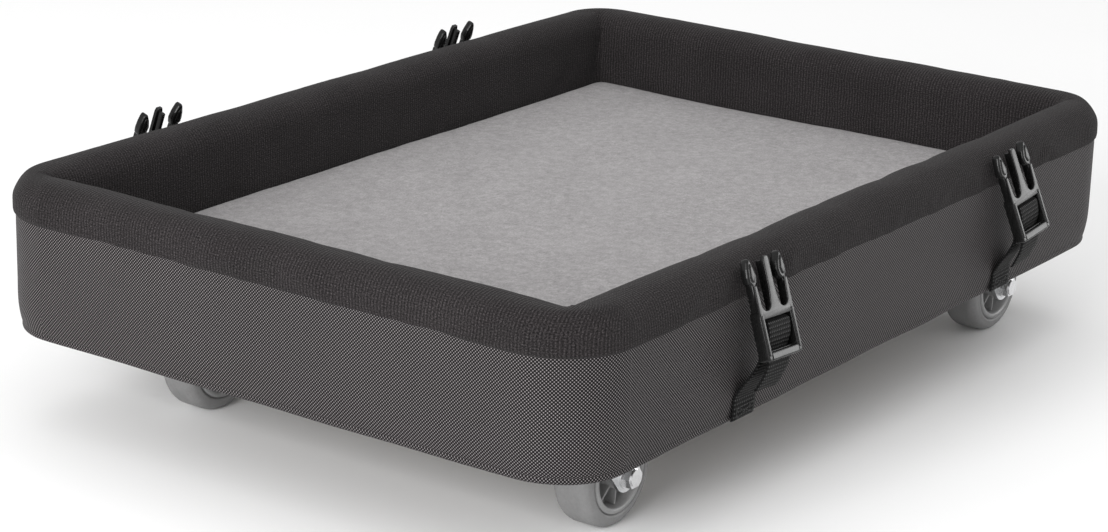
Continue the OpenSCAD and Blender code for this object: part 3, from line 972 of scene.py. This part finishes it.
def arc(cx, cy, r, start, end, steps=8):
    out = []
    for k in range(steps + 1):
        a = math.radians(start + (end - start) * k / steps)
        out.append((cx + r * math.cos(a), cy + r * math.sin(a)))
    return out


def buckle_mesh():
    """The male half of a side-release buckle over its ladder lock, lying flat, in mm from its front face back."""
    parts = []

    def add(outline, depth, bevel, z):
        parts.append(outline_solid([(x * MM, y * MM) for x, y in outline], depth * MM, bevel * MM, z * MM))

    # side rails and foot bar of the ladder lock
    for x0, x1 in ((-14.9, -11.6), (11.6, 14.9)):
        add(box_outline(x0, 0.2, x1, 24.0, 1.2), 6.3, 0.7, 0.1)
        add(box_outline(x0 + 0.8, 2.5, x1 - 0.8, 22.0, 0.5), 0.9, 0.3, -0.25)
    add(box_outline(-12.4, 0.0, 12.4, 4.2, 0.9), 3.5, 1.0, 0.0)
    # bridge with the guide and the roots of the two arms, all one plate with round-bottomed gaps
    right = [(14.6, 19.8), (14.9, 22.0), (14.7, 30.0), (14.5, 36.4), (12.5, 36.4), (11.9, 31.0)]
    gap = arc(7.6, 27.6, 4.1, 0, -180)
    guide = [(2.9, 30.5), (2.45, 34.0), (2.3, 46.8), (1.5, 48.8)]
    half = right + gap + guide
    add(half + mirrored(half), 2.3, 0.45, 0.15)
    add(box_outline(-12.2, 20.2, 12.2, 23.4, 0.9), 6.0, 0.8, 0.3)
    add(box_outline(-1.1, 22, 1.1, 47.2, 0.6), 5.0, 0.5, 0.8)
    # prongs: sprung arm, step and leaf-shaped barb
    arm = rounded([(12.0, 23.2), (14.5, 23.2), (14.7, 30), (14.7, 37.4), (12.3, 37.4), (12.1, 30)], 0.7, 3)
    barb = [(12.2, 35.4), (14.7, 35.6), (15.0, 37.0), (16.5, 37.9), (16.8, 40.8), (16.2, 44.6)]
    barb += [(15.1, 48.0), (13.8, 49.9), (12.2, 48.7), (10.1, 44.8), (9.0, 40.8), (9.8, 37.6)]
    barb = rounded(barb, 1.0, 3)
    leaf = [(12.4, 37.6), (14.9, 38.4), (15.4, 41.0), (14.9, 44.6), (13.8, 48.2), (12.0, 45.4), (10.8, 41.0)]
    leaf = rounded(leaf, 1.2, 4)
    for outline, depth, bevel, z in ((arm, 4.6, 0.8, 0.9), (barb, 4.4, 1.2, 1.05), (leaf, 5.7, 1.0, 0.4)):
        add(outline, depth, bevel, z)
        add(mirrored(outline), depth, bevel, z)
    # ladder bar, foot rod and a fine rod under the bridge, as (up the buckle, through it, radius, ridge)
    bars = (
        (LADDER_V, BUCKLE_T / 2, LADDER_R, 0.09),
        (4.0 * MM, 3.0 * MM, 0.7 * MM, 0.0),
        (20.4 * MM, 1.6 * MM, 0.8 * MM, 0.06),
    )
    for v, w, radius, ridge in bars:
        parts.append(rod_mesh(Vector((-12.6 * MM, v, w)), Vector((12.6 * MM, v, w)), radius, ridge))
    mesh = join_meshes("buckle", parts)
    mesh.transform(Matrix.Diagonal((1, 1, -1, 1)))
    return mesh


def build_buckle(post):
    _, leaning = strap_matrix(post)
    foot_out, foot_z = BUCKLE_FOOT
    # lying flat, the buckle has X across it, Y up it and Z out of its front face; then Y and Z change places
    stand = Matrix.Translation((0, foot_out, foot_z + strap_lift(post))) @ Matrix.Rotation(BUCKLE_TILT, 4, "X")
    upright = Matrix(((1, 0, 0, 0), (0, 0, 1, 0), (0, 1, 0, 0), (0, 0, 0, 1)))
    mesh = buckle_mesh()
    mesh.transform(leaning @ stand @ (Matrix.Translation((0, BUCKLE_T / 2, 0)) @ upright))
    face_outwards(mesh)
    obj = add_object(f"clip_{post}", mesh, PLASTIC)
    activate(obj)
    bpy.ops.object.shade_smooth_by_angle(angle=math.radians(38))
    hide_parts(f"buckle_{post}")
    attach(obj, f"strap_{post}")


for post in POSTS:
    strap, foot, strap_length = build_strap(post)
    build_buckle(post)


# ---------- casters ----------

def lathe(name, section, centre, material):
    """Turns a closed section of (radius, along the axle) about the axle, which lies along Y."""
    verts, faces = [], []
    n, steps = len(section), 96
    for j in range(steps):
        a = 2 * math.pi * j / steps
        for r, y in section:
            verts.append((centre.x + r * math.cos(a), centre.y + y, centre.z + r * math.sin(a)))
    for j in range(steps):
        after = (j + 1) % steps
        for i in range(n):
            k = (i + 1) % n
            faces.append((j * n + i, j * n + k, after * n + k, after * n + i))
    mesh = bpy.data.meshes.new(name)
    mesh.from_pydata(verts, [], faces)
    mesh.update()
    obj = add_object(name, mesh, material)
    face_outwards(mesh)
    return obj


def build_wheel(post):
    lo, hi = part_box(f"tyre_{post}")
    centre = (lo + hi) / 2
    radius, half = (hi.x - lo.x) / 2, (hi.y - lo.y) / 2
    seat = 20.5 * MM  # radius at which the tyre sits on the core
    # tyre: small lips at the hub, soft round shoulders and a flat tread
    tread = [(seat, -half + 1.2 * MM), (seat + 0.6 * MM, -half + 0.2 * MM), (seat + 1.6 * MM, -half)]
    for k in range(9):
        a = math.pi / 2 * k / 8
        tread.append((radius - 4.6 * MM * (1 - math.sin(a)), -half + 0.4 * MM + 5.6 * MM * (1 - math.cos(a))))
    tread.append((radius - 0.05 * MM, -2.5 * MM))
    section = tread + [(r, -y) for r, y in reversed(tread)]
    tyre = lathe(f"tyre_ring_{post}", section, centre, RUBBER)
    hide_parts(f"tyre_{post}")
    # hub: the boss round the bore, a dished web, and a raised bead ring
    boss = [(3.1 * MM, -half - 0.9 * MM), (7.0 * MM, -half - 0.9 * MM), (7.5 * MM, -half - 0.4 * MM)]
    web = [(7.9 * MM, -3.4 * MM), (8.6 * MM, -2.6 * MM), (15.4 * MM, -2.6 * MM), (16.2 * MM, -3.2 * MM)]
    bead = [(16.9 * MM, -half + 1.4 * MM), (17.4 * MM, -half + 0.1 * MM), (18.0 * MM, -half - 0.35 * MM)]
    bead += [(19.4 * MM, -half - 0.35 * MM), (20.0 * MM, -half + 0.1 * MM), (20.3 * MM, -half + 0.9 * MM)]
    one = boss + web + bead + [(seat + 0.05 * MM, -half + 1.4 * MM)]
    section = one + [(r, -y) for r, y in reversed(one)]
    hub = lathe(f"hub_{post}", section, centre, HUB)
    bm = bmesh.new()
    bm.from_mesh(hub.data)
    for k in range(8):
        angle = k * math.pi / 4
        for face in (-1, 1):
            # a tapered rib, standing on the web
            inner, outer = 7.2 * MM, 16.2 * MM
            ring = []
            for r, wide, depth in ((inner, 1.0, half - 2.2 * MM), (outer, 0.75, half - 2.8 * MM)):
                for w, y in ((-wide, 2.0 * MM), (wide, 2.0 * MM), (wide * 0.6, depth), (-wide * 0.6, depth)):
                    local = Vector((r, face * y, w * MM))
                    ring.append(bm.verts.new(centre + Matrix.Rotation(-angle, 3, "Y") @ local))
            for q in ((0, 1, 2, 3), (7, 6, 5, 4), (0, 4, 5, 1), (1, 5, 6, 2), (2, 6, 7, 3), (3, 7, 4, 0)):
                bm.faces.new([ring[i] for i in q])
    bmesh.ops.recalc_face_normals(bm, faces=bm.faces)
    bm.to_mesh(hub.data)
    bm.free()
    activate(hub)
    bpy.ops.object.shade_smooth_by_angle(angle=math.radians(40))
    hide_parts(f"wheel_core_{post}")
    for obj in (tyre, hub):
        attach(obj, f"wheel_{post}")


for post in POSTS:
    build_wheel(post)


# ---------- finishes on the CAD nodes that show ----------

def dress(node, material, bevel=0.0):
    """Gives a CAD node its material and smooth shading, and a modifier that rounds its edges if bevel is over 0."""
    obj, sharp = NODES[node], math.radians(35)
    obj.data.materials.clear()
    obj.data.materials.append(material)
    for polygon in obj.data.polygons:
        polygon.material_index = 0
    if bevel:
        mod = obj.modifiers.new("edges", "BEVEL")
        mod.width = bevel
        mod.segments = 2
        mod.limit_method = "ANGLE"
        mod.angle_limit = sharp
        mod.harden_normals = True
    for polygon in obj.data.polygons:
        polygon.use_smooth = True
    obj.data.set_sharp_from_angle(angle=sharp)


dress("base_board", PLY)
for s in SIDES:
    dress(f"wall_core_{s}", BOARD)
for post in POSTS:
    dress(f"caster_plate_{post}", ZINC, 0.4 * MM)
    dress(f"caster_kingpin_{post}", STEEL, 0.3 * MM)
    dress(f"caster_fork_{post}", ZINC, 0.45 * MM)
    dress(f"axle_bolt_{post}", STEEL, 0.35 * MM)
    dress(f"axle_nut_{post}", STEEL, 0.35 * MM)
dress("race_balls", STEEL)
dress("plate_bolts", STEEL, 0.3 * MM)
dress("plate_nuts", STEEL)


# ---------- stage, light and world ----------

def add_stage():
    mesh = bpy.data.meshes.new("floor")
    s = 12.0
    mesh.from_pydata([(-s, -s, 0), (s, -s, 0), (s, s, 0), (-s, s, 0)], [], [(0, 1, 2, 3)])
    m = Material("floor_paper", Specular_IOR_Level=0.1)
    place = m.place()
    tone = m.ramp(m.noise(place, 2.0, 2), ((0.3, 0.86), (0.7, 0.88)))
    floor = add_object("floor", mesh, m.finish(tone, m.math("MULTIPLY_ADD", m.noise(place, 40, 2), 0.05, 0.85)))
    world = bpy.data.worlds.new("studio")
    scene.world = world
    world.use_nodes = True
    background = world.node_tree.nodes["Background"]
    background.inputs[0].default_value = (1.0, 1.0, 1.0, 1)
    background.inputs[1].default_value = 0.93


def add_light(name, location, target, size, power):
    data = bpy.data.lights.new(name, "AREA")
    data.shape = "RECTANGLE"
    data.size, data.size_y = size
    data.energy = power
    obj = bpy.data.objects.new(name, data)
    scene.collection.objects.link(obj)
    obj.location = location
    obj.rotation_mode = "QUATERNION"
    obj.rotation_quaternion = (Vector(target) - Vector(location)).to_track_quat("-Z", "Y")
    return obj


add_stage()
add_light("key", location=(-2.1, -0.3, 0.8), target=(0, 0, 0.08), size=(1.2, 1.0), power=44)
add_light("top", location=(0.3, 0.2, 2.2), target=(0, 0, 0.1), size=(2.2, 1.6), power=6)
# adds highlights only, along the right-hand face and its buckles
gloss = add_light("gloss", location=(0.95, -1.0, 0.42), target=(-0.13, -0.2, 0.1), size=(0.9, 0.7), power=11)
gloss.visible_diffuse = False
scene.view_settings.view_transform = "Standard"
scene.view_settings.look = "None"

# ---------- the end -----------------------------

bpy.context.view_layer.update()
